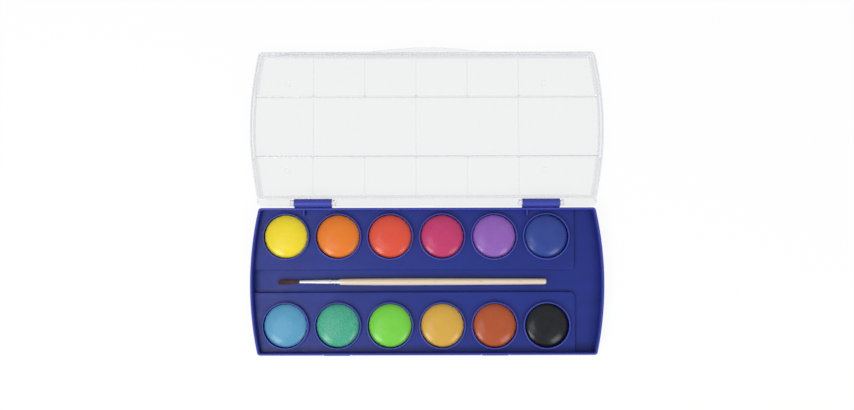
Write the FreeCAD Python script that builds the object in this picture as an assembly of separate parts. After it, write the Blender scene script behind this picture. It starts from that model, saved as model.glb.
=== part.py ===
import FreeCAD, Part
import math
import os

from FreeCAD import Vector

# Watercolour paint set: a moulded tray with twelve paint wells and a brush trough, and a clear
# lid on two snap hinges, opened flat so that its inside serves as a mixing palette.
# Millimetres, +Z up. The origin is the middle of the tray's underside, on the table.
# +X runs along the box to the right, and +Y points back to the hinges and the opened lid.

# Tray shell
box_length = 244.0
box_depth = 101.3
end_bow = 5.6
box_height = 10.0
box_wall = 1.5
box_draft = 0.5
box_corner = 2.2
rim_bevel = 0.4
floor_thickness = 1.4

# Raised decks on both sides of the brush trough
deck_height = 4.0
deck_thickness = 1.3
deck_corner = 4.0
deck_edge_rounding = 0.8
deck_draft = 0.3
compartment_width = 17.6
trough_width = 14.8

# Paint wells
well_columns = 6
well_pitch = 36.15
well_row_offset = 30.8
well_grid_middle = -7.65
tablet_diameter = 29.9
tablet_play = 0.4
tablet_height = 5.6
tablet_bevel = 0.6
collar_wall = 1.1
collar_height = 6.8
collar_bevel = 0.35

# Small ribs of the tray
back_rib_places = (-85.3, 69.3)
back_rib_thickness = 0.8
back_rib_reach = 3.8
back_rib_top = 8.6
under_rib_thickness = 1.0

# Snap beads on the tray's front wall, in line with the second and fifth well
snap_columns = (1, 4)
snap_width = 18.2
snap_bead_radius = 0.45
snap_bead_height = 8.7
snap_bead_proud = 0.3
snap_slit_width = 0.7
snap_slit_depth = 0.45
snap_groove_clearance = 0.12

# Hinges: clips moulded on the tray grip rods moulded in the lid
hinge_places = (-78.9, 78.9)
hinge_offset = 3.4
clip_width = 26.1
clip_outer_radius = 2.9
rod_radius = 1.4
rod_clearance = 0.06
clip_mouth_from = 232.0
clip_mouth_to = 340.0
clip_web_top = -0.2
clip_web_bottom = -2.4
clip_side_clearance = 0.4
clip_lid_clearance = 0.3
ear_radius = 2.1
ear_length = 2.4

# Lid
lid_clearance = 0.2
lid_rest_gap = 0.1
skirt_thickness = 0.95
skirt_below_axis = 0.75
lid_band_height = 1.3
lid_ledge_cover = 0.85
lid_depth_inside = 4.4
lid_panel = 1.2
lid_wall = 1.25
lid_draft = 0.6
lid_edge_rounding = 2.0
lid_inner_rounding = 1.4
lid_foot_height = 1.3
lid_foot_radius = 2.1

# Mixing wells in the lid
band_half_width = 20.8
band_sink = 0.9
band_end_inset = 0.25
band_end_wall = 0.85
band_end_draft = 0.3
ridge_height = 1.3
ridge_thickness = 0.9
ridge_crest = 0.5
gusset_reach = 2.0

# Lid edge: hinge flange, its middle notch, the thumb tab and the small pads along the back
flange_half_thickness = 0.75
flange_beyond_axis = 2.1
flange_corner = 3.0
flange_notch_width = 12.6
flange_notch_depth = 0.5
thumb_tab_length = 77.0
thumb_tab_reach = 2.9
thumb_tab_thickness = 1.4
back_pad_places = (-107.0, -52.5, 0.0, 52.5, 107.0)
back_pad_length = 6.0
back_pad_proud = 0.4
back_pad_height = 2.0

# Brush
brush_line_y = -0.55
brush_tip_from_end = 17.8
hair_length = 15.6
hair_inside = 9.0
hair_belly_radius = 1.85
hair_belly_from_tip = 3.4
hair_tip_radius = 1.1
hair_clearance = 0.03
ferrule_length = 28.0
ferrule_taper = 20.0
ferrule_front_radius = 1.3
ferrule_back_radius = 1.85
ferrule_wall = 0.28
crimp_depth = 0.25
crimp_half_width = 1.0
crimp_places = (4.9, 2.5)
handle_length = 143.3
handle_neck_radius = 2.1
handle_belly_radius = 2.45
handle_belly_at = 38.0
handle_end_radius = 2.0
handle_end_bevel = 0.9
tenon_length = 7.8
tenon_clearance = 0.03
glue_clearance = 0.03
brush_rest_gap = 0.05

# Places that follow from the sizes
half_length = box_length / 2
half_depth = box_depth / 2
bow_radius = (half_depth ** 2 + end_bow ** 2) / (2 * end_bow)
bow_centre = half_length - bow_radius
well_radius = tablet_diameter / 2 + tablet_play
collar_radius = well_radius + collar_wall
deck_right = half_length - box_wall - compartment_width
well_xs = [
    well_grid_middle + well_pitch * (column - (well_columns - 1) / 2)
    for column in range(well_columns)
]
hinge_y = half_depth + hinge_offset
ledge_z = box_height + lid_rest_gap
lid_inner_z = ledge_z + lid_depth_inside
lid_outer_z = lid_inner_z + lid_panel
lid_top_z = lid_outer_z + lid_foot_height
hinge_z = lid_top_z / 2
skirt_grow = lid_clearance + skirt_thickness
skirt_bottom_z = hinge_z - skirt_below_axis
brush_z = floor_thickness + handle_belly_radius + brush_rest_gap
brush_tip_x = -half_length + brush_tip_from_end
ferrule_front_x = brush_tip_x + hair_length
ferrule_back_x = ferrule_front_x + ferrule_length
handle_end_x = ferrule_back_x + handle_length
hair_root_x = ferrule_front_x + hair_inside
taper_end_x = ferrule_front_x + ferrule_taper
tenon_x = ferrule_back_x - tenon_length
crimp_xs = [ferrule_back_x - place for place in crimp_places]
ferrule_bore_radius = ferrule_front_radius - ferrule_wall
socket_radius = ferrule_back_radius - crimp_depth - ferrule_wall

PAINT_ROWS = {
    well_row_offset: ("yellow", "orange", "vermilion", "crimson", "violet", "ultramarine"),
    -well_row_offset: ("sky_blue", "emerald", "leaf_green", "ochre", "sienna", "black"),
}


# Box from its lowest to its highest corner
def block(x0, x1, y0, y1, z0, z1):
    return Part.makeBox(x1 - x0, y1 - y0, z1 - z0, Vector(x0, y0, z0))


# Round rod or disc standing on +Z
def post(radius, x, y, z0, z1):
    return Part.makeCylinder(radius, z1 - z0, Vector(x, y, z0))


# Edges that lie flat at one height
def edges_at(shape, height):
    return [
        edge for edge in shape.Edges
        if abs(edge.BoundBox.ZMin - height) < 1e-4 and abs(edge.BoundBox.ZMax - height) < 1e-4
    ]


# Edges that stand from one level to another
def standing_edges(shape):
    height = shape.BoundBox.ZLength
    return [edge for edge in shape.Edges if edge.BoundBox.ZLength > 0.9 * height]


# Round slab that bows one end of the box; its side slopes where the two growths differ
def end_slab(side, grow_low, z_low, grow_high, z_high):
    middle = Vector(side * bow_centre, 0, z_low)
    radius_low = bow_radius + grow_low
    radius_high = bow_radius + grow_high
    if radius_low == radius_high:
        slab = Part.makeCylinder(radius_low, z_high - z_low, middle)
    else:
        slab = Part.makeCone(radius_low, radius_high, z_high - z_low, middle)
    slab.rotate(middle, Vector(0, 0, 1), 90)
    return slab


# Form of the box's outline between two heights, grown outward by a distance at each of them
def bowed_form(grow_low, z_low, grow_high, z_high, corner):
    y_low = half_depth + grow_low
    y_high = half_depth + grow_high
    start_x = -box_length
    section = [
        Vector(start_x, -y_low, z_low),
        Vector(start_x, y_low, z_low),
        Vector(start_x, y_high, z_high),
        Vector(start_x, -y_high, z_high),
    ]
    form = Part.Face(Part.makePolygon(section + section[:1])).extrude(Vector(2 * box_length, 0, 0))
    for side in (1, -1):
        form = form.common(end_slab(side, grow_low, z_low, grow_high, z_high))
    return form.makeFillet(corner, standing_edges(form))


# Tray shell before the decks: walls with draft, a bevelled rim and the thin floor
def tray_shell():
    shell = bowed_form(-box_draft, 0, 0, box_height, box_corner)
    inner_corner = box_corner - box_wall / 2
    cavity = bowed_form(
        -box_wall - box_draft / 2, floor_thickness, -box_wall, box_height, inner_corner
    )
    shell = shell.cut(cavity)
    return shell.makeChamfer(rim_bevel, edges_at(shell, box_height))


# Outline of a deck at a height; side is +1 for the back deck and -1 for the front one
def deck_wire(side, shrink, height):
    inner_y = trough_width / 2 + shrink
    outer_y = half_depth + box_wall
    left_x = -half_length - box_wall
    right_x = deck_right - shrink
    radius = deck_corner - shrink
    knee = radius * (1 - math.cos(math.pi / 4))
    corner_from = Vector(right_x - radius, side * inner_y, height)
    corner_mid = Vector(right_x - knee, side * (inner_y + knee), height)
    corner_to = Vector(right_x, side * (inner_y + radius), height)
    outer_right = Vector(right_x, side * outer_y, height)
    outer_left = Vector(left_x, side * outer_y, height)
    inner_left = Vector(left_x, side * inner_y, height)
    return Part.Wire([
        Part.LineSegment(inner_left, corner_from).toShape(),
        Part.Arc(corner_from, corner_mid, corner_to).toShape(),
        Part.LineSegment(corner_to, outer_right).toShape(),
        Part.LineSegment(outer_right, outer_left).toShape(),
        Part.LineSegment(outer_left, inner_left).toShape(),
    ])


# Deck block with drafted sides and a rounded edge, cut to the inside of the box
def deck_block(side):
    block_low = deck_wire(side, 0, 0)
    block_high = deck_wire(side, deck_draft, deck_height)
    deck = Part.makeLoft([block_low, block_high], True, True)
    inner_edges = [
        edge for edge in edges_at(deck, deck_height)
        if edge.BoundBox.XMin > -half_length - box_wall + 0.1
        and abs(edge.BoundBox.Center.y) < half_depth
        or abs(abs(edge.BoundBox.Center.y) - trough_width / 2) < 1.0
    ]
    deck = deck.makeFillet(deck_edge_rounding, inner_edges)
    inside = bowed_form(-box_wall / 2, 0, -box_wall / 2, deck_height, box_corner)
    return deck.common(inside)


# Hollow below a deck, open at the table, that leaves its plate and side walls
def deck_hollow(side):
    low = deck_wire(side, deck_thickness, -1)
    high = deck_wire(side, deck_thickness + deck_draft, deck_height - deck_thickness)
    hollow = Part.makeLoft([low, high], True, True)
    grow = -box_wall - box_draft
    inside = bowed_form(grow, -2, grow, deck_height, box_corner - box_wall / 2)
    return hollow.common(inside)


# One well with its bevelled collar, closed by the floor that stands on the table
def well_cup(x, y):
    cup = post(collar_radius, x, y, 0, collar_height)
    return cup.makeChamfer(collar_bevel, edges_at(cup, collar_height))


# Room for one tablet inside its well
def well_room(x, y):
    return post(well_radius, x, y, floor_thickness, collar_height + 1)


# Ribs below the decks that tie the cups to the back and front walls and to the trough
def under_ribs():
    ribs = []
    top = deck_height - deck_thickness / 2
    half = under_rib_thickness / 2
    for x in well_xs:
        for side in (1, -1):
            inner = sorted((side * (trough_width / 2 + deck_thickness / 2), side * well_row_offset))
            outer = sorted((side * well_row_offset, side * (half_depth - box_wall)))
            ribs.append(block(x - half, x + half, inner[0], inner[1], 0.6, top))
            ribs.append(block(x - half, x + half, outer[0], outer[1], 0.6, top))
    return ribs


# Thin upright ribs inside the back wall
def back_ribs():
    inner_y = half_depth - box_wall
    return [
        block(
            x - back_rib_thickness / 2, x + back_rib_thickness / 2,
            inner_y - back_rib_reach, inner_y + box_wall / 2, floor_thickness, back_rib_top,
        )
        for x in back_rib_places
    ]


# Rounded bead on the front wall that holds the lid shut, with grow for the lid's groove
def snap_bead(x, grow):
    radius = snap_bead_radius + grow
    length = snap_width + 2 * grow
    y = -half_depth - snap_bead_proud + snap_bead_radius
    return Part.makeCylinder(
        radius, length, Vector(x - length / 2, y, snap_bead_height), Vector(1, 0, 0)
    )


# Upright slits at both ends of a snap bead
def snap_slits(x):
    slits = []
    for side in (1, -1):
        middle = x + side * (snap_width + snap_slit_width) / 2
        slits.append(block(
            middle - snap_slit_width / 2, middle + snap_slit_width / 2,
            -half_depth - 1, -half_depth + snap_slit_depth,
            snap_bead_height - 3 * snap_bead_radius, box_height + 1,
        ))
    return slits


# Hinge clip on the tray's back wall: an open ring on a web, its mouth down and back
def hinge_clip(x):
    start = x - clip_width / 2
    middle = Vector(start, hinge_y, hinge_z)
    along = Vector(1, 0, 0)
    ring = Part.makeCylinder(clip_outer_radius, clip_width, middle, along)
    web = block(
        start, start + clip_width, half_depth - box_wall / 2, hinge_y,
        hinge_z + clip_web_bottom, hinge_z + clip_web_top,
    )
    bore = Part.makeCylinder(rod_radius + rod_clearance, clip_width, middle, along)
    reach = 2 * clip_outer_radius
    corners = [Vector(start, hinge_y, hinge_z)]
    for angle in (clip_mouth_from, (clip_mouth_from + clip_mouth_to) / 2, clip_mouth_to):
        turn = math.radians(angle)
        corners.append(Vector(
            start, hinge_y + reach * math.cos(turn), hinge_z + reach * math.sin(turn)
        ))
    wedge = Part.Face(Part.makePolygon(corners + corners[:1]))
    mouth = wedge.extrude(Vector(clip_width, 0, 0))
    return ring.fuse(web).cut(bore).cut(mouth)


# The whole moulded tray
def make_tray():
    tray = tray_shell()
    tray = tray.fuse([deck_block(1), deck_block(-1)])
    tray = tray.cut([deck_hollow(1), deck_hollow(-1)])
    cups = [well_cup(x, y) for y in PAINT_ROWS for x in well_xs]
    tray = tray.fuse(cups + under_ribs() + back_ribs())
    tray = tray.cut([well_room(x, y) for y in PAINT_ROWS for x in well_xs])
    slits = []
    beads = []
    for column in snap_columns:
        slits += snap_slits(well_xs[column])
        beads.append(snap_bead(well_xs[column], 0))
    tray = tray.cut(slits)
    tray = tray.fuse(beads + [hinge_clip(x) for x in hinge_places])
    return tray.removeSplitter()


# Paint tablet: a pressed disc with a bevelled upper edge
def make_tablet(x, y):
    top = floor_thickness + tablet_height
    disc = post(tablet_diameter / 2, x, y, floor_thickness, top)
    return disc.makeChamfer(tablet_bevel, edges_at(disc, top))


# Lid body shut over the tray: skirt, ledge, walls and panel with rounded edges
def lid_body():
    band_top = ledge_z + lid_band_height
    skirt = bowed_form(
        skirt_grow, skirt_bottom_z, skirt_grow, band_top, box_corner + skirt_grow
    )
    shoulder = lid_wall - lid_ledge_cover
    upper = bowed_form(
        shoulder, band_top - lid_panel, shoulder - lid_draft, lid_outer_z, box_corner + shoulder
    )
    upper = upper.makeFillet(lid_edge_rounding, edges_at(upper, lid_outer_z))
    over_rim = bowed_form(
        lid_clearance, skirt_bottom_z - 1, lid_clearance, ledge_z, box_corner + lid_clearance
    )
    room = bowed_form(
        -lid_ledge_cover, ledge_z - 1, -lid_ledge_cover - lid_draft, lid_inner_z, box_corner
    )
    room = room.makeFillet(lid_inner_rounding, edges_at(room, lid_inner_z))
    return skirt.fuse(upper).cut([over_rim, room])


# Middle band of the panel, sunk into the lid's outside to make the deeper mixing wells
def sink_middle_band(lid):
    outer_end = -band_end_inset
    inner_end = -band_end_inset - band_end_wall
    outside = bowed_form(
        outer_end, lid_outer_z - lid_panel - lid_inner_rounding / 3,
        outer_end - band_end_draft, lid_outer_z + band_sink, box_corner,
    )
    inside = bowed_form(
        inner_end, lid_inner_z - lid_inner_rounding,
        inner_end - band_end_draft, lid_inner_z + band_sink, box_corner,
    )
    outer_band = block(
        -half_length, half_length, -band_half_width - lid_panel, band_half_width + lid_panel,
        0, 2 * lid_top_z,
    )
    inner_band = block(
        -half_length, half_length, -band_half_width, band_half_width, 0, 2 * lid_top_z
    )
    return lid.fuse(outside.common(outer_band)).cut(inside.common(inner_band))


# Tapered ridge on the lid's inside; it hangs from its foot down to its crest
def ridge(start, end, foot_z, crest_z):
    along = end - start
    across = Vector(-along.y, along.x, 0).normalize()
    foot = across * (ridge_thickness / 2)
    crest = across * (ridge_crest / 2)
    outline = [
        start - foot + Vector(0, 0, foot_z),
        start + foot + Vector(0, 0, foot_z),
        start + crest + Vector(0, 0, crest_z),
        start - crest + Vector(0, 0, crest_z),
    ]
    return Part.Face(Part.makePolygon(outline + outline[:1])).extrude(along)


# Three-cornered gusset where two ridges meet
def gusset(x, y, side_x, side_y, crest_z):
    corners = [
        Vector(x, y, lid_inner_z),
        Vector(x + side_x * gusset_reach, y, lid_inner_z),
        Vector(x, y + side_y * gusset_reach, lid_inner_z),
    ]
    face = Part.Face(Part.makePolygon(corners + corners[:1]))
    return face.extrude(Vector(0, 0, crest_z - lid_inner_z))


# Ridges that part the lid's inside into mixing wells, six in each outer band, four in the middle
def lid_ridges():
    pieces = []
    crest_z = lid_inner_z - ridge_height
    foot_z = lid_inner_z + lid_panel / 2
    end_x = half_length - lid_ledge_cover
    wall_y = half_depth - lid_ledge_cover
    ridge_xs = [(a + b) / 2 for a, b in zip(well_xs, well_xs[1:])]
    for side in (1, -1):
        y = side * band_half_width
        pieces.append(ridge(Vector(-end_x, y, 0), Vector(end_x, y, 0), foot_z, crest_z))
        for x in ridge_xs:
            pieces.append(ridge(Vector(x, y, 0), Vector(x, side * wall_y, 0), foot_z, crest_z))
            pieces.append(gusset(x, y, 1, side, crest_z))
            pieces.append(gusset(x, y, -1, side, crest_z))
    for x in ridge_xs[::2]:
        start = Vector(x, -band_half_width, 0)
        end = Vector(x, band_half_width, 0)
        pieces.append(ridge(start, end, foot_z + band_sink, crest_z + band_sink))
    inside = bowed_form(
        -lid_ledge_cover / 2, ledge_z, -lid_ledge_cover / 2 - lid_draft, lid_top_z, box_corner
    )
    return [piece.common(inside) for piece in pieces]


# Four round feet that the opened lid stands on
def lid_feet():
    return [
        post(lid_foot_radius, x, y, lid_outer_z - lid_panel / 2, lid_top_z)
        for x in (well_xs[0], well_xs[-1])
        for y in PAINT_ROWS
    ]


# Flange behind the back skirt, with rounded ends and a shallow notch in its middle
def hinge_flange():
    back_y = hinge_y + flange_beyond_axis
    front_y = half_depth + lid_clearance
    side_x = bow_centre + math.sqrt((bow_radius + skirt_grow) ** 2 - half_depth ** 2)
    low_z = hinge_z - flange_half_thickness
    high_z = hinge_z + flange_half_thickness
    flange = block(-side_x, side_x, front_y, back_y, low_z, high_z)
    ends = [
        edge for edge in flange.Edges
        if edge.BoundBox.ZLength > flange_half_thickness and edge.BoundBox.YMin > back_y - 0.1
    ]
    flange = flange.makeFillet(flange_corner, ends)
    notch = block(
        -flange_notch_width / 2, flange_notch_width / 2,
        back_y - flange_notch_depth, back_y + 1, low_z - 1, high_z + 1,
    )
    return flange.cut(notch)


# Thumb tab: a low arc that stands out of the front skirt
def thumb_tab():
    front_y = -half_depth - skirt_grow
    half = thumb_tab_length / 2
    root_y = front_y + skirt_thickness / 2
    left = Vector(-half, front_y, skirt_bottom_z)
    right = Vector(half, front_y, skirt_bottom_z)
    tip = Vector(0, front_y - thumb_tab_reach, skirt_bottom_z)
    left_root = Vector(-half, root_y, skirt_bottom_z)
    right_root = Vector(half, root_y, skirt_bottom_z)
    outline = Part.Wire([
        Part.Arc(left, tip, right).toShape(),
        Part.LineSegment(right, right_root).toShape(),
        Part.LineSegment(right_root, left_root).toShape(),
        Part.LineSegment(left_root, left).toShape(),
    ])
    return Part.Face(outline).extrude(Vector(0, 0, thumb_tab_thickness))


# Small pads along the inside of the lid's back wall
def back_pads():
    inner_y = half_depth - lid_ledge_cover
    return [
        block(
            x - back_pad_length / 2, x + back_pad_length / 2,
            inner_y - back_pad_proud, inner_y + lid_wall / 2,
            ledge_z, ledge_z + back_pad_height,
        )
        for x in back_pad_places
    ]


# Room that a hinge clip needs in the lid, shut or open
def clip_notch(x):
    half = clip_width / 2 + clip_side_clearance
    reach = clip_outer_radius + clip_lid_clearance
    return block(
        x - half, x + half, half_depth, hinge_y + reach,
        hinge_z - reach, hinge_z + reach * math.sin(math.radians(45)),
    )


# Rod in one notch, carried by a round ear at each end
def hinge_rod(x):
    half = clip_width / 2 + clip_side_clearance
    along = Vector(1, 0, 0)
    rod_start = Vector(x - half - ear_length / 2, hinge_y, hinge_z)
    rod = Part.makeCylinder(rod_radius, 2 * half + ear_length, rod_start, along)
    ears = []
    for start in (x - half - ear_length, x + half):
        ears.append(Part.makeCylinder(ear_radius, ear_length, Vector(start, hinge_y, hinge_z), along))
    return rod.fuse(ears)


# The whole clear lid, made shut and then swung open flat behind the tray
def make_lid():
    lid = sink_middle_band(lid_body())
    lid = lid.fuse(lid_ridges() + lid_feet() + back_pads() + [hinge_flange(), thumb_tab()])
    lid = lid.cut([clip_notch(x) for x in hinge_places])
    lid = lid.cut([snap_bead(well_xs[column], snap_groove_clearance) for column in snap_columns])
    lid = lid.fuse([hinge_rod(x) for x in hinge_places])
    lid = lid.removeSplitter()
    lid.rotate(Vector(0, hinge_y, hinge_z), Vector(1, 0, 0), 180)
    return lid


# Solid turned about the brush's own line, from a closed run of points of length and radius
def turned_along_brush(*points):
    outline = Part.makePolygon([Vector(x, 0, radius) for x, radius in points])
    solid = Part.Face(outline).revolve(Vector(0, 0, 0), Vector(1, 0, 0), 360)
    solid.translate(Vector(0, brush_line_y, brush_z))
    return solid


# Metal tube: a straight back with two crimped rings, then a taper to the hair
def make_ferrule():
    outside = [(ferrule_front_x, ferrule_front_radius), (taper_end_x, ferrule_back_radius)]
    for crimp_x in crimp_xs:
        outside.append((crimp_x - crimp_half_width, ferrule_back_radius))
        outside.append((crimp_x, ferrule_back_radius - crimp_depth))
        outside.append((crimp_x + crimp_half_width, ferrule_back_radius))
    outside.append((ferrule_back_x, ferrule_back_radius))
    inside = [
        (ferrule_back_x, socket_radius), (tenon_x, socket_radius),
        (tenon_x, ferrule_bore_radius), (ferrule_front_x, ferrule_bore_radius),
    ]
    return turned_along_brush(*outside, *inside, outside[0])


# Wooden handle: a tenon in the ferrule, a slim belly, a long taper and a blunt end
def make_handle():
    neck_x = ferrule_back_x
    belly_x = neck_x + handle_belly_at
    end_bevel_x = handle_end_x - handle_end_bevel
    tenon_radius = socket_radius - tenon_clearance
    tenon_start_x = tenon_x + tenon_clearance
    return turned_along_brush(
        (handle_end_x, 0), (tenon_start_x, 0), (tenon_start_x, tenon_radius),
        (neck_x, tenon_radius), (neck_x, handle_neck_radius), (belly_x, handle_belly_radius),
        (end_bevel_x, handle_end_radius),
        (handle_end_x, handle_end_radius - handle_end_bevel), (handle_end_x, 0),
    )


# Tuft of hair: slim in the ferrule, fuller towards its blunt tip
def make_hair():
    belly_x = brush_tip_x + hair_belly_from_tip
    root_radius = ferrule_bore_radius - hair_clearance
    return turned_along_brush(
        (brush_tip_x, 0), (hair_root_x, 0), (hair_root_x, root_radius),
        (ferrule_front_x, root_radius), (belly_x, hair_belly_radius),
        (brush_tip_x, hair_tip_radius), (brush_tip_x, 0),
    )


# Glue plug that holds the hair in the ferrule, between the hair and the handle's tenon
def make_glue_plug():
    radius = ferrule_bore_radius - glue_clearance
    return turned_along_brush(
        (hair_root_x, 0), (tenon_x, 0), (tenon_x, radius), (hair_root_x, radius), (hair_root_x, 0)
    )


# All the pieces by name
def make_pieces():
    pieces = {"tray": make_tray(), "lid": make_lid()}
    for y, names in PAINT_ROWS.items():
        for x, name in zip(well_xs, names):
            pieces["paint_" + name] = make_tablet(x, y)
    pieces["brush_handle"] = make_handle()
    pieces["brush_ferrule"] = make_ferrule()
    pieces["brush_hair"] = make_hair()
    pieces["brush_glue_plug"] = make_glue_plug()
    return pieces


os.makedirs("parts", exist_ok=True)
for name, shape in make_pieces().items():
    solid = shape.Solids[0] if len(shape.Solids) == 1 else shape
    solid.exportStep("parts/" + name + ".step")
    print(name, len(shape.Solids), round(shape.Volume, 1), shape.isValid())
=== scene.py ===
"""Dresses the watercolour paint set: the blue tray, its clear lid, twelve paint tablets and a brush.

Everything is in metres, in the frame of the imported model: +X along the box to the right, +Y back
to the hinges and the opened lid, and +Z up from the table.
"""

from __future__ import annotations

import logging
import math
import random
from collections import defaultdict
from collections.abc import Callable, Iterator, Sequence
from contextlib import contextmanager
from dataclasses import dataclass, field
from enum import Enum

import bpy
from mathutils import Euler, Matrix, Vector

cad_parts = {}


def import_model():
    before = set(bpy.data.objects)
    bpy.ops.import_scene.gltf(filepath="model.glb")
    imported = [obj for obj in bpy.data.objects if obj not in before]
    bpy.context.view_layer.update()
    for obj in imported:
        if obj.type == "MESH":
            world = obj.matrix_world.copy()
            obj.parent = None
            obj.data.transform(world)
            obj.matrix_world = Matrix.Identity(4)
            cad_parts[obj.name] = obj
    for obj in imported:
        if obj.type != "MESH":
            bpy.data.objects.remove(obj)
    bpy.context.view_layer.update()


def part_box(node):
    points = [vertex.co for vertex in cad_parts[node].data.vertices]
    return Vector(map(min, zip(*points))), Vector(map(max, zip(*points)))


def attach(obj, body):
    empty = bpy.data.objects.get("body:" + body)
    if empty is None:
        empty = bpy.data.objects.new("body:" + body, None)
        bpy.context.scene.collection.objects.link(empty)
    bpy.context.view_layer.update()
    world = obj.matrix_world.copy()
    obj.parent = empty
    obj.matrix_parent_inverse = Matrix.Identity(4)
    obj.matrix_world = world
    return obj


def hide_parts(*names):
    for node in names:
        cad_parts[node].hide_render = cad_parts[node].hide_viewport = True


MM = 0.001
PHOTO_WIDTH = 854
STEEP = "steep"
Colour = tuple[float, float, float]
Station = tuple[float, float]

log = logging.getLogger("paint_set")


class Body(Enum):
    """The moving bodies of the paint set."""

    TRAY = "tray"
    LID = "lid"
    BRUSH = "brush"


class Grain(Enum):
    """How coarse a tablet's pigment is: the strength of its specks, and how many lie on a metre."""

    SMOOTH = (0.35, 3600.0)
    FINE = (0.8, 2100.0)
    SPECKLED = (1.6, 1500.0)


# Working on meshes


def only_select(obj: bpy.types.Object) -> None:
    """Make one object the only selected one, and the active one."""
    bpy.ops.object.select_all(action="DESELECT")
    obj.select_set(True)
    bpy.context.view_layer.objects.active = obj


@contextmanager
def editing(obj: bpy.types.Object, mode: str = "FACE") -> Iterator[None]:
    """Open an object in edit mode and close it again.

    Args:
        obj: The object to work on.
        mode: What is picked: VERT, EDGE or FACE.
    """
    only_select(obj)
    bpy.ops.object.mode_set(mode="EDIT")
    bpy.ops.mesh.select_mode(type=mode)
    try:
        yield
    finally:
        bpy.ops.object.mode_set(mode="OBJECT")


def pick_faces(obj: bpy.types.Object, wanted: Callable[[Vector, Vector], bool]) -> int:
    """Select the faces whose centre and normal pass a test, and nothing else.

    Args:
        obj: The object, in object mode.
        wanted: Takes a face's centre and its normal.

    Returns:
        How many faces were selected.
    """
    mesh = obj.data
    mesh.vertices.foreach_set("select", [False] * len(mesh.vertices))
    mesh.edges.foreach_set("select", [False] * len(mesh.edges))
    chosen = [wanted(face.center, face.normal) for face in mesh.polygons]
    mesh.polygons.foreach_set("select", chosen)
    return sum(chosen)


def apply_modifiers(obj: bpy.types.Object) -> None:
    """Apply all the modifiers of an object, in order."""
    only_select(obj)
    for modifier in list(obj.modifiers):
        bpy.ops.object.modifier_apply(modifier=modifier.name)


def smooth_by_angle(obj: bpy.types.Object, degrees: float) -> None:
    """Shade an object smooth, with its edges above an angle kept sharp."""
    only_select(obj)
    bpy.ops.object.shade_smooth_by_angle(angle=math.radians(degrees))


def settle(obj: bpy.types.Object) -> None:
    """Put an object's place into its mesh, so that the object itself sits at the origin."""
    only_select(obj)
    bpy.ops.object.transform_apply(location=True, rotation=True, scale=True)


def moved_copy(source: bpy.types.Object, name: str, place: Vector) -> bpy.types.Object:
    """Copy an object with a mesh of its own, moved within that mesh.

    Args:
        source: The finished object.
        name: The copy's name.
        place: How far the copy is moved.

    Returns:
        The copy, with its object at the origin.
    """
    copy = source.copy()
    copy.data = source.data.copy()
    copy.name = name
    copy.data.name = name
    bpy.context.scene.collection.objects.link(copy)
    copy.location = place
    settle(copy)
    return copy


def weigh_outer_edges(
    obj: bpy.types.Object, degrees: float, spared: Callable[[Vector], bool]
) -> None:
    """Give the sharp edges that stick out a bevel weight, and leave inner corners as they are.

    Args:
        obj: The piece, as triangles.
        degrees: How much an edge must turn to be sharp.
        spared: Takes an edge's middle, and tells whether the edge stays sharp.
    """
    mesh = obj.data
    sides = defaultdict(list)
    for face in mesh.polygons:
        for key in face.edge_keys:
            sides[key].append(face)
    flat = math.cos(math.radians(degrees))
    weights = []
    for edge in mesh.edges:
        faces = sides[edge.key]
        outer = len(faces) == 2 and faces[0].normal.dot(faces[1].normal) < flat
        outer = outer and faces[0].normal.dot(faces[1].center - faces[0].center) < 0
        start, end = (mesh.vertices[index].co for index in edge.vertices)
        weights.append(float(outer and not spared((start + end) / 2)))
    mesh.attributes.new("bevel_weight_edge", "FLOAT", "EDGE").data.foreach_set("value", weights)


# The slim and steep marks set where the clear plastic's painted edge shade goes.
def mark_slim_faces(obj: bpy.types.Object, slim: float) -> None:
    """Mark the faces that are narrower than a width, such as the crests of ribs."""
    marks = []
    for face in obj.data.polygons:
        corners = [obj.data.vertices[index].co for index in face.vertices]
        around = sum((a - b).length for a, b in zip(corners, corners[1:] + corners[:1]))
        marks.append(0.6 if 2 * face.area < slim * around else 0.0)
    obj.data.attributes.new(STEEP, "FLOAT", "FACE").data.foreach_set("value", marks)


def mark_steep_faces(obj: bpy.types.Object, reach: float, rib_lines: Sequence[float]) -> None:
    """Raise each face's mark to how steep it is, and lower it away from the long ribs.

    Args:
        obj: The piece, its slim faces marked.
        reach: How near a long rib's middle its faces lie.
        rib_lines: Where the long ribs lie in Y.
    """
    marks = obj.data.attributes[STEEP].data
    for face in obj.data.polygons:
        near = any(abs(face.center.y - line) < reach for line in rib_lines)
        steep = max(marks[face.index].value, 1 - abs(face.normal.z))
        marks[face.index].value = steep if near else 0.4 * steep


def merged_copy(node: str, name: str) -> bpy.types.Object:
    """Copy a CAD node as one joined mesh with whole flat faces.

    Args:
        node: The CAD node's name.
        name: The new object's name.

    Returns:
        The new object.
    """
    source = bpy.data.objects[node]
    mesh = source.data.copy()
    mesh.name = name
    copy = bpy.data.objects.new(name, mesh)
    bpy.context.scene.collection.objects.link(copy)
    if mesh.has_custom_normals:
        only_select(copy)
        bpy.ops.mesh.customdata_custom_splitnormals_clear()
    with editing(copy, "VERT"):
        bpy.ops.mesh.select_all(action="SELECT")
        bpy.ops.mesh.remove_doubles(threshold=0.002 * MM)
        bpy.ops.mesh.dissolve_limited(angle_limit=math.radians(0.6))
    return copy


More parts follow.
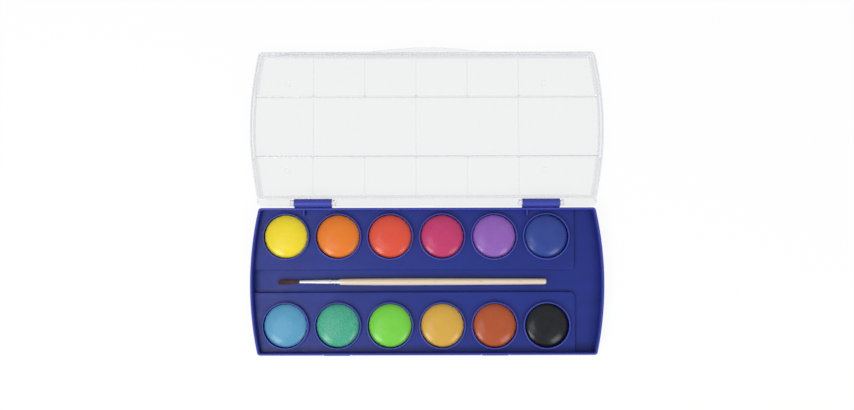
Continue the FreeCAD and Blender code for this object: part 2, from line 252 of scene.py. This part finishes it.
def turned(name: str, stations: Sequence[Station], segments: int) -> bpy.types.Object:
    """Turn a solid form about the brush's line, ring after ring.

    Args:
        name: The new object's name.
        stations: Length along +X and radius of each ring, in metres. A radius of nothing closes
            an end; a form that ends where it began is a tube.
        segments: How many sides each ring has.

    Returns:
        The form, on the X axis of the frame.
    """
    first_x, first_radius = stations[0]
    bpy.ops.mesh.primitive_circle_add(
        vertices=segments, radius=first_radius, location=(first_x, 0, 0),
        rotation=(0, math.radians(90), 0),
    )
    obj = bpy.context.active_object
    obj.name = name
    obj.data.name = name
    settle(obj)
    with editing(obj, "EDGE"):
        bpy.ops.mesh.select_all(action="SELECT")
        before_x, before_radius = first_x, first_radius
        for x, radius in stations[1:]:
            bpy.ops.mesh.extrude_region_move(
                TRANSFORM_OT_translate={"value": (x - before_x, 0, 0)}
            )
            ratio = radius / before_radius
            bpy.ops.transform.resize(value=(1, ratio, ratio), center_override=(x, 0, 0))
            before_x, before_radius = x, radius
        bpy.ops.mesh.select_all(action="SELECT")
        bpy.ops.mesh.remove_doubles(threshold=0.001 * MM)
        bpy.ops.mesh.select_all(action="DESELECT")
        bpy.ops.mesh.select_non_manifold()
        if math.dist(stations[0], stations[-1]) > 0.001 * MM:
            bpy.ops.mesh.edge_face_add()
        bpy.ops.mesh.select_all(action="SELECT")
        bpy.ops.mesh.normals_make_consistent(inside=False)
    return obj


# Finishes


class Board:
    """A material's node tree, with short calls that add and join nodes."""

    def __init__(self, name: str) -> None:
        """Start an empty material."""
        self.material = bpy.data.materials.new(name)
        self.material["slot"] = name
        self.material.use_nodes = True
        self.tree = self.material.node_tree
        self.tree.nodes.clear()

    def add(self, kind: str, values: dict | None = None, **settings: object) -> bpy.types.Node:
        """Add a node.

        Args:
            kind: The node's type, without its ShaderNode prefix.
            values: What its inputs hold, by name or number: a value, or a socket to join.
            **settings: The node's own settings.

        Returns:
            The node.
        """
        node = self.tree.nodes.new("ShaderNode" + kind)
        for key, setting in settings.items():
            setattr(node, key, setting)
        for key, value in (values or {}).items():
            if isinstance(value, bpy.types.NodeSocket):
                self.tree.links.new(value, node.inputs[key])
            elif isinstance(value, tuple) and len(value) == 3 and node.inputs[key].type == "RGBA":
                node.inputs[key].default_value = (*value, 1)
            else:
                node.inputs[key].default_value = value
        return node

    def place(self, scale: tuple[float, float, float] = (1, 1, 1)) -> bpy.types.NodeSocket:
        """Object coordinates in metres, stretched by a scale on each axis."""
        coordinates = self.add("TexCoord").outputs["Object"]
        return self.add("Mapping", {"Vector": coordinates, "Scale": scale}).outputs["Vector"]

    def noise(
        self, place: bpy.types.NodeSocket, scale: float, detail: float = 2.0, rough: float = 0.5
    ) -> bpy.types.NodeSocket:
        """A soft random pattern of about one blot per 1/scale metres, from 0 to 1."""
        values = {"Vector": place, "Scale": scale, "Detail": detail, "Roughness": rough}
        return self.add("TexNoise", values).outputs["Fac"]

    def spread(
        self, value: bpy.types.NodeSocket, low: float, high: float, to_low: float, to_high: float
    ) -> bpy.types.NodeSocket:
        """Stretch a value from one range to another, and hold it there."""
        values = {
            "Value": value, "From Min": low, "From Max": high, "To Min": to_low, "To Max": to_high
        }
        return self.add("MapRange", values).outputs["Result"]

    def mix(
        self, share: bpy.types.NodeSocket | float, first: object, second: object
    ) -> bpy.types.NodeSocket:
        """Blend two colours by a share."""
        node = self.add("Mix", data_type="RGBA")
        for key, value in (("Factor", share), ("A", first), ("B", second)):
            socket = next(
                s for s in node.inputs if s.name == key
                and s.type == ("VALUE" if key == "Factor" else "RGBA")
            )
            if isinstance(value, bpy.types.NodeSocket):
                self.tree.links.new(value, socket)
            else:
                socket.default_value = (*value, 1) if key != "Factor" else value
        return next(s for s in node.outputs if s.type == "RGBA")

    def bump(
        self, height: bpy.types.NodeSocket, depth: float, under: bpy.types.NodeSocket | None = None
    ) -> bpy.types.NodeSocket:
        """Raise the surface by a pattern of a real depth in metres."""
        values: dict = {"Height": height, "Distance": depth, "Strength": 1.0}
        if under is not None:
            values["Normal"] = under
        return self.add("Bump", values).outputs["Normal"]

    def finish(self, surface: bpy.types.Node) -> bpy.types.Material:
        """Join a shader to the output and hand over the material."""
        output = self.add("OutputMaterial")
        self.tree.links.new(surface.outputs[0], output.inputs["Surface"])
        return self.material


@dataclass(frozen=True)
class BluePlastic:
    """Moulded blue plastic: a satin skin, with painted light that brightens the upper walls, standing in for
    light that passes the thin plastic.
    """

    slot: str = "blue_plastic"
    colour: Colour = (0.008, 0.022, 0.215)
    deep_colour: Colour = (0.006, 0.018, 0.185)
    # Painted light: a brighter blue for the walls above a height, standing in for light passing the thin
    # plastic.
    painted_light_colour: Colour = (0.040, 0.054, 0.360)
    painted_light_from: float = 5.4 * MM
    painted_light_to: float = 6.8 * MM
    smooth: float = 0.30
    rough: float = 0.40
    gloss: float = 0.30

    def make(self) -> bpy.types.Material:
        """Make the material."""
        board = Board(self.slot)
        flow = board.noise(board.place((1, 3, 3)), 28, 3)
        grain = board.noise(board.place(), 5200, 2, 0.6)
        clouds = board.noise(board.place(), 160, 4, 0.6)
        colour = board.mix(board.spread(flow, 0.35, 0.65, 0, 1), self.deep_colour, self.colour)
        height = board.add("SeparateXYZ", {0: board.place()}).outputs[2]
        # Painted light: walls above a height turn a brighter blue, as if lit through the thin plastic.
        thin = board.spread(height, self.painted_light_from, self.painted_light_to, 0, 1)
        colour = board.mix(thin, colour, self.painted_light_colour)
        rough = board.spread(clouds, 0.3, 0.7, self.smooth, self.rough)
        skin = board.bump(clouds, 0.012 * MM)
        skin = board.bump(grain, 0.004 * MM, skin)
        return board.finish(board.add("BsdfPrincipled", {
            "Base Color": colour, "Roughness": rough, "IOR": 1.49,
            "Specular IOR Level": self.gloss, "Normal": skin,
        }))


@dataclass(frozen=True)
class ClearPlastic:
    """Clear moulded plastic: polished, faintly grey, with soft flow lines."""

    slot: str = "clear_plastic"
    tint: Colour = (0.893, 0.906, 0.899)
    shadow_tint: Colour = (0.86, 0.87, 0.89)
    # Painted shade: the grey that steep faces and rib crests take, so that edges read as lines.
    steep_painted_shade: Colour = (0.46, 0.45, 0.53)
    edge_tint: Colour = (0.88, 0.87, 0.91)
    index: float = 1.50
    last_bend: float = 3.5

    def make(self) -> bpy.types.Material:
        """Make the material.

        Lamps pass through it as through a thin clear wall. Steep faces, such as the sides of the
        ridges, take a painted grey shade, and light that has bent often enough in an edge leaves it
        straight and a little grey, so that edges read as soft lines.
        """
        board = Board(self.slot)
        waves = board.noise(board.place((1, 2, 1)), 45, 2)
        scuffs = board.noise(board.place((60, 900, 300)), 1, 3, 0.7)
        rough = board.spread(scuffs, 0.45, 0.75, 0.015, 0.06)
        steep = board.add("Attribute", attribute_name=STEEP).outputs["Fac"]
        # Painted shade: steep faces and rib crests are tinted grey, as refraction darkens the real edges.
        tint = board.mix(steep, self.tint, self.steep_painted_shade)
        body = board.add("BsdfPrincipled", {
            "Base Color": tint, "Roughness": rough, "IOR": self.index,
            "Transmission Weight": 1.0, "Normal": board.bump(waves, 0.02 * MM),
        })
        path = board.add("LightPath").outputs
        edge = board.add("BsdfTransparent", {"Color": self.edge_tint})
        late = board.add("Math", {0: path["Ray Depth"], 1: self.last_bend},
                         operation="GREATER_THAN").outputs[0]
        bent = board.add("MixShader", {"Fac": late, 1: body.outputs[0], 2: edge.outputs[0]})
        through = board.add("BsdfTransparent", {"Color": self.shadow_tint})
        for_lamps = board.add("Math", {0: path["Is Shadow Ray"], 1: path["Is Diffuse Ray"]},
                              operation="MAXIMUM").outputs[0]
        return board.finish(board.add("MixShader", {
            "Fac": for_lamps, 1: bent.outputs[0], 2: through.outputs[0]
        }))


@dataclass(frozen=True)
class PressedPaint:
    """Pressed pigment: matt, grained, a little darker where the grains lie deep."""

    slot: str
    colour: Colour
    grain: Grain = Grain.SMOOTH
    gloss: float = 0.22

    def make(self) -> bpy.types.Material:
        """Make the material."""
        board = Board(self.slot)
        strength, count = self.grain.value
        place = board.place()
        powder = board.noise(place, count, 3, 0.7)
        blots = board.noise(place, 210, 3, 0.55)
        dark = tuple(channel * (1 - min(0.75, 0.30 * strength)) for channel in self.colour)
        pale = tuple(min(1.0, channel * (1 + 0.10 * strength) + 0.006) for channel in self.colour)
        colour = board.mix(board.spread(blots, 0.3, 0.7, 0.0, 1.0), self.colour, pale)
        pits = board.spread(powder, 0.52, 0.62, 0, min(1.0, 0.75 * strength))
        colour = board.mix(pits, colour, dark)
        skin = board.bump(blots, 0.02 * MM)
        skin = board.bump(powder, 0.010 * strength * MM, skin)
        return board.finish(board.add("BsdfPrincipled", {
            "Base Color": colour, "Roughness": board.spread(powder, 0.3, 0.7, 0.17, 0.26),
            "IOR": 1.45, "Specular IOR Level": self.gloss, "Normal": skin,
        }))


@dataclass(frozen=True)
class BareWood:
    """Pale turned wood under a thin varnish, its grain along the handle."""

    slot: str = "bare_wood"
    pale: Colour = (0.74, 0.63, 0.465)
    grain: Colour = (0.64, 0.50, 0.34)
    fleck: Colour = (0.52, 0.30, 0.13)

    def make(self) -> bpy.types.Material:
        """Make the material."""
        board = Board(self.slot)
        rings = board.noise(board.place((9, 620, 620)), 1, 4, 0.65)
        pores = board.noise(board.place((120, 5200, 5200)), 1, 2, 0.6)
        spots = board.noise(board.place((150, 900, 900)), 1, 2, 0.4)
        colour = board.mix(board.spread(rings, 0.42, 0.68, 0, 0.85), self.pale, self.grain)
        colour = board.mix(board.spread(pores, 0.58, 0.75, 0, 0.55), colour, self.grain)
        colour = board.mix(board.spread(spots, 0.70, 0.78, 0, 0.8), colour, self.fleck)
        return board.finish(board.add("BsdfPrincipled", {
            "Base Color": colour, "Roughness": board.spread(pores, 0.3, 0.7, 0.34, 0.5),
            "Coat Weight": 0.35, "Coat Roughness": 0.18, "Normal": board.bump(pores, 0.01 * MM),
        }))


@dataclass(frozen=True)
class DrawnMetal:
    """Drawn metal tube: bright, with fine lines along its length."""

    slot: str = "ferrule_metal"
    colour: Colour = (0.53, 0.54, 0.56)
    dull: Colour = (0.38, 0.39, 0.42)

    def make(self) -> bpy.types.Material:
        """Make the material."""
        board = Board(self.slot)
        lines = board.noise(board.place((80, 6000, 6000)), 1, 3, 0.6)
        smudges = board.noise(board.place(), 420, 3, 0.6)
        colour = board.mix(board.spread(smudges, 0.4, 0.75, 0, 0.7), self.colour, self.dull)
        return board.finish(board.add("BsdfPrincipled", {
            "Base Color": colour, "Metallic": 1.0,
            "Roughness": board.spread(smudges, 0.3, 0.7, 0.30, 0.44),
            "Normal": board.bump(lines, 0.003 * MM),
        }))


@dataclass(frozen=True)
class BrownHair:
    """Dark brown hair, paler towards the tip, each hair of its own tone."""

    slot: str = "brown_hair"
    root: Colour = (0.022, 0.010, 0.009)
    tone: Colour = (0.120, 0.052, 0.036)
    tip: Colour = (0.130, 0.056, 0.036)

    def make(self, tip_x: float, root_x: float) -> bpy.types.Material:
        """Make the material.

        Args:
            tip_x: Where the tuft's tip is along X, in metres.
            root_x: Where the tuft leaves the ferrule.

        Returns:
            The material.
        """
        board = Board(self.slot)
        strands = board.noise(board.place((130, 6500, 6500)), 1, 2, 0.5)
        along = board.add("SeparateXYZ", {0: board.add("TexCoord").outputs["Object"]}).outputs[0]
        colour = board.mix(board.spread(strands, 0.35, 0.65, 0, 1), self.root, self.tone)
        tips = board.spread(along, root_x, tip_x, 0, 0.65)
        return board.finish(board.add("BsdfPrincipled", {
            "Base Color": board.mix(tips, colour, self.tip),
            "Roughness": board.spread(strands, 0.3, 0.7, 0.38, 0.55), "IOR": 1.55,
        }))


@dataclass(frozen=True)
class SetGlue:
    """Amber glue, set hard inside the ferrule."""

    slot: str = "glue"
    colour: Colour = (0.50, 0.34, 0.14)
    dark: Colour = (0.30, 0.18, 0.07)

    def make(self) -> bpy.types.Material:
        """Make the material."""
        board = Board(self.slot)
        clouds = board.noise(board.place(), 900, 3)
        return board.finish(board.add("BsdfPrincipled", {
            "Base Color": board.mix(clouds, self.colour, self.dark),
            "Roughness": board.spread(clouds, 0.3, 0.7, 0.2, 0.4),
        }))


def dress(obj: bpy.types.Object, material: bpy.types.Material) -> None:
    """Give an object one material in place of what it has."""
    obj.data.materials.clear()
    obj.data.materials.append(material)


# Sub-assemblies


@dataclass
class Moulding:
    """A moulded shell that keeps the CAD node's form, with its edges softened as in a mould."""

    node: str
    body: Body
    edge_radius: float
    sharp_degrees: float = 32.0
    slim: float = 0.0
    rib_lines: tuple[float, ...] = ()
    cuts: tuple[float, ...] = ()
    snaps: tuple[tuple[float, float], ...] = ()
    snap_reach: tuple[float, float] = (10.8 * MM, 1.8 * MM)

    def near_snap(self, place: Vector) -> bool:
        """Tell whether a place lies at a snap bead or its groove, whose fine form is kept."""
        return any(
            abs(place.x - x) < self.snap_reach[0] and abs(place.y - y) < self.snap_reach[1]
            for x, y in self.snaps
        )

    def build(self, material: bpy.types.Material) -> bpy.types.Object:
        """Build and dress the shell in place of its node.

        Args:
            material: The shell's finish.

        Returns:
            The finished piece.
        """
        piece = merged_copy(self.node, self.node + "_moulding")
        mark_slim_faces(piece, self.slim)
        for cut in self.cuts:
            with editing(piece):
                bpy.ops.mesh.select_all(action="SELECT")
                bpy.ops.mesh.bisect(plane_co=(cut, 0, 0), plane_no=(1, 0, 0))
        piece.modifiers.new("small_faces", "TRIANGULATE")
        apply_modifiers(piece)
        weigh_outer_edges(piece, self.sharp_degrees, self.near_snap)
        bevel = piece.modifiers.new("soft_edges", "BEVEL")
        bevel.width = self.edge_radius
        bevel.segments = 2
        bevel.limit_method = "WEIGHT"
        bevel.use_clamp_overlap = False
        apply_modifiers(piece)
        smooth_by_angle(piece, self.sharp_degrees)
        weights = piece.modifiers.new("flat_faces_lead", "WEIGHTED_NORMAL")
        weights.keep_sharp = True
        apply_modifiers(piece)
        mark_steep_faces(piece, self.slim, self.rib_lines)
        dress(piece, material)
        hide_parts(self.node)
        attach(piece, self.body.value)
        return piece


@dataclass
class PaintTablets:
    """The twelve domed tablets of pressed paint, each loose in its well."""

    finishes: Sequence[PressedPaint]
    crown: float = 2.6 * MM
    flatness: float = 3.3
    rim_bevel: float = 0.5 * MM
    segments: int = 96
    rings: int = 11

    def build_form(self, radius: float, height: float) -> bpy.types.Object:
        """Model one tablet on the frame's origin.

        Args:
            radius: The tablet's radius.
            height: Its height in the middle.

        Returns:
            The tablet's form, its underside at height nothing.
        """
        side = height - self.crown
        bpy.ops.mesh.primitive_cylinder_add(
            vertices=self.segments, radius=radius, depth=side, location=(0, 0, side / 2)
        )
        form = bpy.context.active_object
        form.name = "tablet_form"
        settle(form)
        pick_faces(form, lambda centre, normal: normal.z > 0.9)
        with editing(form):
            outer, level = radius, 0.0
            for ring in range(1, self.rings + 1):
                inner = radius * (1 - (ring / (self.rings + 1)) ** 1.6)
                rise = self.crown * (1 - (inner / radius) ** self.flatness)
                bpy.ops.mesh.inset(thickness=outer - inner, depth=0)
                bpy.ops.transform.translate(value=(0, 0, rise - level))
                outer, level = inner, rise
            bpy.ops.mesh.poke(offset=self.crown - level)
        bevel = form.modifiers.new("rim", "BEVEL")
        bevel.width = self.rim_bevel
        bevel.segments = 3
        bevel.limit_method = "ANGLE"
        bevel.angle_limit = math.radians(45)
        apply_modifiers(form)
        smooth_by_angle(form, 50)
        return form

    def build(self) -> list[bpy.types.Object]:
        """Build and dress the tablets in their wells.

        Returns:
            The finished tablets.
        """
        tablets = []
        low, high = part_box(self.finishes[0].slot)
        form = self.build_form((high.x - low.x) / 2, high.z - low.z)
        for finish in self.finishes:
            low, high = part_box(finish.slot)
            place = Vector(((low.x + high.x) / 2, (low.y + high.y) / 2, low.z))
            tablet = moved_copy(form, finish.slot + "_tablet", place)
            dress(tablet, finish.make())
            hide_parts(finish.slot)
            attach(tablet, Body.TRAY.value)
            tablets.append(tablet)
        bpy.data.objects.remove(form)
        return tablets


@dataclass
class Brush:
    """The school brush in the trough: a turned handle, a crimped ferrule and a tuft of hair."""

    segments: int = 40
    ferrule_radius: float = 1.85 * MM
    ferrule_front_radius: float = 1.30 * MM
    ferrule_wall: float = 0.28 * MM
    ferrule_taper: float = 20.0 * MM
    crimp_depth: float = 0.32 * MM
    crimp_length: float = 2.2 * MM
    crimp_places: tuple[float, ...] = (4.9 * MM, 2.5 * MM)
    tenon_length: float = 7.8 * MM
    tenon_radius: float = 1.29 * MM
    neck_radius: float = 2.1 * MM
    belly_radius: float = 2.45 * MM
    belly_at: float = 38.0 * MM
    end_radius: float = 2.0 * MM
    tuft_radius: float = 1.85 * MM
    tuft_droop: float = 0.45 * MM
    hair_count: int = 380
    hair_width: float = 0.085 * MM
    hair_steps: int = 6
    seed: int = 11
    axis: Vector = field(default_factory=Vector)

    def __post_init__(self) -> None:
        """Read the brush's line and ends from the frame."""
        low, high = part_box("brush_handle")
        self.axis = Vector((0, (low.y + high.y) / 2, (low.z + high.z) / 2))
        self.neck_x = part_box("brush_ferrule")[1].x
        self.end_x = high.x
        self.front_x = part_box("brush_ferrule")[0].x
        self.tip_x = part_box("brush_hair")[0].x

    def finish_piece(
        self, piece: bpy.types.Object, node: str, material: bpy.types.Material
    ) -> bpy.types.Object:
        """Put a turned piece on the brush's line in place of its node.

        Args:
            piece: The piece, still on the X axis.
            node: The CAD node that it stands for.
            material: Its finish.

        Returns:
            The finished piece.
        """
        piece.location = self.axis
        settle(piece)
        dress(piece, material)
        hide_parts(node)
        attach(piece, Body.BRUSH.value)
        return piece

    def build_handle(self) -> bpy.types.Object:
        """Turn the handle: a tenon, a slim belly, a long taper and a rounded end."""
        neck, belly = self.neck_x, self.neck_x + self.belly_at
        stations = [
            (neck - self.tenon_length, self.tenon_radius), (neck, self.tenon_radius),
            (neck, self.neck_radius - 0.12 * MM), (neck + 0.25 * MM, self.neck_radius),
        ]
        for step in range(1, 13):
            share = step / 12
            swell = math.sin(share * math.pi / 2)
            radius = self.neck_radius + (self.belly_radius - self.neck_radius) * swell
            stations.append((neck + self.belly_at * share, radius))
        bevel = 1.1 * MM
        run = self.end_x - bevel - belly
        for step in range(1, 17):
            share = step / 16
            fall = share ** 1.35
            radius = self.belly_radius - (self.belly_radius - self.end_radius) * fall
            stations.append((belly + run * share, radius))
        for step in range(1, 7):
            turn = step / 6 * math.pi / 2
            stations.append((
                self.end_x - bevel + bevel * math.sin(turn),
                self.end_radius - bevel * (1 - math.cos(turn)),
            ))
        handle = turned("brush_handle_turned", stations, self.segments)
        smooth_by_angle(handle, 40)
        return self.finish_piece(handle, "brush_handle", BareWood().make())

    def build_ferrule(self) -> bpy.types.Object:
        """Draw the ferrule: a rolled mouth, a taper, and a straight back with rounded crimps."""
        mouth = self.front_x
        back = self.neck_x
        stations = [
            (mouth, self.ferrule_front_radius - 0.10 * MM),
            (mouth + 0.10 * MM, self.ferrule_front_radius),
            (mouth + self.ferrule_taper, self.ferrule_radius),
        ]
        for place in self.crimp_places:
            for step in range(9):
                share = step / 8
                dip = self.crimp_depth * (0.5 - 0.5 * math.cos(share * 2 * math.pi))
                stations.append((back - place + (share - 0.5) * self.crimp_length, self.ferrule_radius - dip))
        bore = self.ferrule_front_radius - self.ferrule_wall
        socket = self.tenon_radius + 0.03 * MM
        stations += [
            (back - 0.08 * MM, self.ferrule_radius), (back, self.ferrule_radius - 0.08 * MM),
            (back, socket), (back - self.tenon_length, socket),
            (back - self.tenon_length, bore), (mouth, bore), stations[0],
        ]
        ferrule = turned("brush_ferrule_drawn", stations, self.segments)
        smooth_by_angle(ferrule, 40)
        return self.finish_piece(ferrule, "brush_ferrule", DrawnMetal().make())

    def hair_line(self, side: float, height: float, reach: float) -> list[tuple[Vector, float]]:
        """Points along one hair, from its root in the ferrule to its tip.

        Args:
            side: Its place across the ferrule's bore along Y, from -1 to 1.
            height: Its place along Z, from -1 to 1.
            reach: How much of the tuft's length it has, from 0 to 1.

        Returns:
            Each point with the hair's radius there.
        """
        bore = self.ferrule_front_radius - self.ferrule_wall - 2 * self.hair_width
        belly = self.belly_radius_of_tuft
        root_x = self.front_x + 3.0 * MM
        length = (root_x - self.tip_x) * reach
        points = []
        for step in range(self.hair_steps + 1):
            share = step / self.hair_steps
            x = root_x - length * share
            out = min(1.0, max(0.0, (self.front_x - x) / (self.front_x - self.tip_x)))
            swell = bore + (belly - bore) * math.sin(min(1.0, out / 0.75) * math.pi / 2)
            swell *= 1.0 - 0.12 * max(0.0, (out - 0.8) / 0.2) ** 2
            aside = -self.tuft_droop * out ** 1.3
            droop = -0.20 * MM * out ** 2
            point = Vector((x, side * swell + aside, height * swell * 0.9 + droop))
            radius = self.hair_width * (1.0 - 0.75 * max(0.0, share - 0.55) / 0.45)
            points.append((point, radius))
        return points

    @property
    def belly_radius_of_tuft(self) -> float:
        """Radius of the tuft's fullest place, less a hair's width."""
        return self.tuft_radius - 2 * self.hair_width

    def build_hair_form(self) -> bpy.types.Object:
        """Model one straight hair of unit length, to be laid along each hair's line."""
        bpy.ops.mesh.primitive_cylinder_add(
            vertices=4, radius=1, depth=1, location=(0.5, 0, 0), rotation=(0, math.radians(90), 0),
            end_fill_type="NGON",
        )
        form = bpy.context.active_object
        form.name = "hair_form"
        settle(form)
        with editing(form, "EDGE"):
            bpy.ops.mesh.select_all(action="DESELECT")
        for cut in range(1, self.hair_steps):
            with editing(form, "EDGE"):
                bpy.ops.mesh.select_all(action="SELECT")
                bpy.ops.mesh.bisect(
                    plane_co=(cut / self.hair_steps, 0, 0), plane_no=(1, 0, 0)
                )
        return form

    def build_tuft(self) -> bpy.types.Object:
        """Lay the hairs into the ferrule one by one."""
        draw = random.Random(self.seed)
        form = self.build_hair_form()
        hairs = []
        for index in range(self.hair_count):
            angle = index * 2.39996 + draw.uniform(-0.2, 0.2)
            out = math.sqrt((index + 0.5) / self.hair_count)
            reach = 1.0 - 0.04 * out ** 2 - draw.uniform(0, 0.07)
            line = self.hair_line(out * math.cos(angle), out * math.sin(angle), reach)
            hair = form.copy()
            hair.data = form.data.copy()
            bpy.context.scene.collection.objects.link(hair)
            for vertex in hair.data.vertices:
                step = round(vertex.co.x * self.hair_steps)
                point, radius = line[step]
                vertex.co = point + Vector((0, vertex.co.y * radius, vertex.co.z * radius))
            hairs.append(hair)
        bpy.data.objects.remove(form)
        only_select(hairs[0])
        for hair in hairs:
            hair.select_set(True)
        bpy.ops.object.join()
        tuft = bpy.context.active_object
        tuft.name = "brush_hair_tuft"
        tuft.data.name = tuft.name
        smooth_by_angle(tuft, 80)
        material = BrownHair().make(self.tip_x, self.front_x)
        return self.finish_piece(tuft, "brush_hair", material)

    def build(self) -> list[bpy.types.Object]:
        """Build the brush's pieces and dress the glue that stays a CAD node."""
        dress(bpy.data.objects["brush_glue_plug"], SetGlue().make())
        return [self.build_handle(), self.build_ferrule(), self.build_tuft()]


# The studio


@dataclass
class Studio:
    """A plain white floor, three soft lamps in front and above, and the photograph's camera."""

    target: Vector = field(default_factory=lambda: Vector((-0.09, 52.99, 0)) * MM)
    distance: float = 584.9 * MM
    tilt_degrees: float = 2.98
    roll_degrees: float = 0.131
    focal_pixels: float = 832.2
    sensor: float = 36.0
    sky: float = 0.46
    floor_glow: float = 0.90

    def build_camera(self) -> None:
        """Set the camera above the set, leaning a little to the front."""
        data = bpy.data.cameras.new("camera")
        data.sensor_fit = "HORIZONTAL"
        data.sensor_width = self.sensor
        data.lens = self.focal_pixels / PHOTO_WIDTH * self.sensor
        camera = bpy.data.objects.new("camera", data)
        bpy.context.scene.collection.objects.link(camera)
        tilt = math.radians(self.tilt_degrees)
        back = Vector((0, -math.sin(tilt), math.cos(tilt)))
        camera.location = self.target + back * self.distance
        camera.rotation_euler = Euler((tilt, 0, -math.radians(self.roll_degrees)))
        bpy.context.scene.camera = camera

    def build_floor(self) -> None:
        """Lay a wide pale floor that looks white and keeps a soft shadow."""
        bpy.ops.mesh.primitive_plane_add(size=12, location=(0, 0, -0.05 * MM))
        floor = bpy.context.active_object
        floor.name = "floor"
        board = Board("floor_paper")
        paper = board.noise(board.place(), 700, 3)
        colour = board.mix(paper, (0.95, 0.95, 0.95), (0.98, 0.98, 0.98))
        cloth = board.add("BsdfDiffuse", {"Color": colour})
        glow = board.add("Emission", {"Color": (1, 1, 1), "Strength": 1.0})
        path = board.add("LightPath").outputs
        seen = board.add("Math", {0: path["Is Camera Ray"], 1: path["Is Glossy Ray"]},
                         operation="MAXIMUM").outputs[0]
        seen = board.add("Math", {0: seen, 1: path["Is Transmission Ray"]},
                         operation="MAXIMUM").outputs[0]
        share = board.add("Math", {0: seen, 1: self.floor_glow}, operation="MULTIPLY")
        dress(floor, board.finish(board.add("MixShader", {
            "Fac": share.outputs[0], 1: cloth.outputs[0], 2: glow.outputs[0]
        })))

    def build_sky(self) -> None:
        """Light the set softly from all round; the camera, gloss and clear plastic see white."""
        world = bpy.data.worlds.new("studio_sky")
        bpy.context.scene.world = world
        world.use_nodes = True
        tree = world.node_tree
        tree.nodes.clear()
        path = tree.nodes.new("ShaderNodeLightPath").outputs
        seen = tree.nodes.new("ShaderNodeMath")
        seen.operation = "MAXIMUM"
        tree.links.new(path["Is Camera Ray"], seen.inputs[0])
        tree.links.new(path["Is Transmission Ray"], seen.inputs[1])
        also = tree.nodes.new("ShaderNodeMath")
        also.operation = "MAXIMUM"
        tree.links.new(seen.outputs[0], also.inputs[0])
        tree.links.new(path["Is Glossy Ray"], also.inputs[1])
        lit = tree.nodes.new("ShaderNodeBackground")
        lit.inputs["Color"].default_value = (1, 1, 1, 1)
        lit.inputs["Strength"].default_value = self.sky
        shown = tree.nodes.new("ShaderNodeBackground")
        shown.inputs["Color"].default_value = (1, 1, 1, 1)
        shown.inputs["Strength"].default_value = 1.0
        mix = tree.nodes.new("ShaderNodeMixShader")
        tree.links.new(also.outputs[0], mix.inputs["Fac"])
        tree.links.new(lit.outputs[0], mix.inputs[1])
        tree.links.new(shown.outputs[0], mix.inputs[2])
        output = tree.nodes.new("ShaderNodeOutputWorld")
        tree.links.new(mix.outputs[0], output.inputs["Surface"])

    def build_lamp(self, name: str, direction: Vector, power: float, size: float) -> None:
        """Hang one soft lamp that looks at the set.

        Args:
            name: The lamp's name.
            direction: From the set to the lamp.
            power: Its power in watts.
            size: The side of its square face in metres.
        """
        data = bpy.data.lights.new(name, "AREA")
        data.energy = power
        data.size = size
        lamp = bpy.data.objects.new(name, data)
        bpy.context.scene.collection.objects.link(lamp)
        lamp.location = Vector((0, 0.02, 0)) + direction
        lamp.rotation_euler = direction.to_track_quat("Z", "Y").to_euler()

    def build(self) -> None:
        """Build the camera, the floor and the light."""
        bpy.context.scene.view_settings.view_transform = "Standard"
        self.build_camera()
        self.build_floor()
        self.build_sky()
        self.build_lamp("left_softbox", Vector((-0.66, -0.72, 0.95)), 7.6, 0.42)
        self.build_lamp("right_softbox", Vector((0.66, -0.78, 0.95)), 5.0, 0.44)
        self.build_lamp("top_left_softbox", Vector((-0.44, -0.26, 1.25)), 2.8, 0.50)


PAINTS = (
    PressedPaint("paint_yellow", (0.801, 0.633, 0.027), Grain.SMOOTH),
    PressedPaint("paint_orange", (0.734, 0.187, 0.020), Grain.SMOOTH),
    PressedPaint("paint_vermilion", (0.672, 0.080, 0.044), Grain.SMOOTH),
    PressedPaint("paint_crimson", (0.491, 0.042, 0.138), Grain.SMOOTH),
    PressedPaint("paint_violet", (0.261, 0.111, 0.436), Grain.FINE),
    PressedPaint("paint_ultramarine", (0.027, 0.055, 0.265), Grain.SMOOTH),
    PressedPaint("paint_sky_blue", (0.093, 0.314, 0.491), Grain.FINE),
    PressedPaint("paint_emerald", (0.066, 0.381, 0.245), Grain.SPECKLED),
    PressedPaint("paint_leaf_green", (0.166, 0.572, 0.055), Grain.SMOOTH),
    PressedPaint("paint_ochre", (0.609, 0.356, 0.059), Grain.SMOOTH),
    PressedPaint("paint_sienna", (0.398, 0.081, 0.026), Grain.SMOOTH),
    PressedPaint("paint_black", (0.008, 0.009, 0.013), Grain.SMOOTH),
)


def report(pieces: Sequence[bpy.types.Object]) -> None:
    """Log each piece with its count of faces."""
    for piece in pieces:
        log.info("%s: %d faces", piece.name, len(piece.data.polygons))


def main() -> None:
    """Load the frame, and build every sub-assembly and the studio."""
    logging.basicConfig(level=logging.INFO, format="%(name)s: %(message)s")
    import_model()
    tray = Moulding(
        "tray", Body.TRAY, 0.20 * MM,
        snaps=((-61.9 * MM, -50.5 * MM), (46.6 * MM, -50.5 * MM)),
    )
    lid = Moulding(
        "lid", Body.LID, 0.17 * MM, slim=0.8 * MM, rib_lines=(86.6 * MM, 129.5 * MM),
        cuts=(-101.4 * MM, -94.6 * MM, 79.3 * MM, 86.1 * MM),
        snaps=((-61.9 * MM, 158.6 * MM), (46.6 * MM, 158.6 * MM)),
    )
    report([tray.build(BluePlastic().make()), lid.build(ClearPlastic().make())])
    report(PaintTablets(PAINTS).build())
    report(Brush().build())
    Studio().build()


if __name__ == "__main__":
    main()
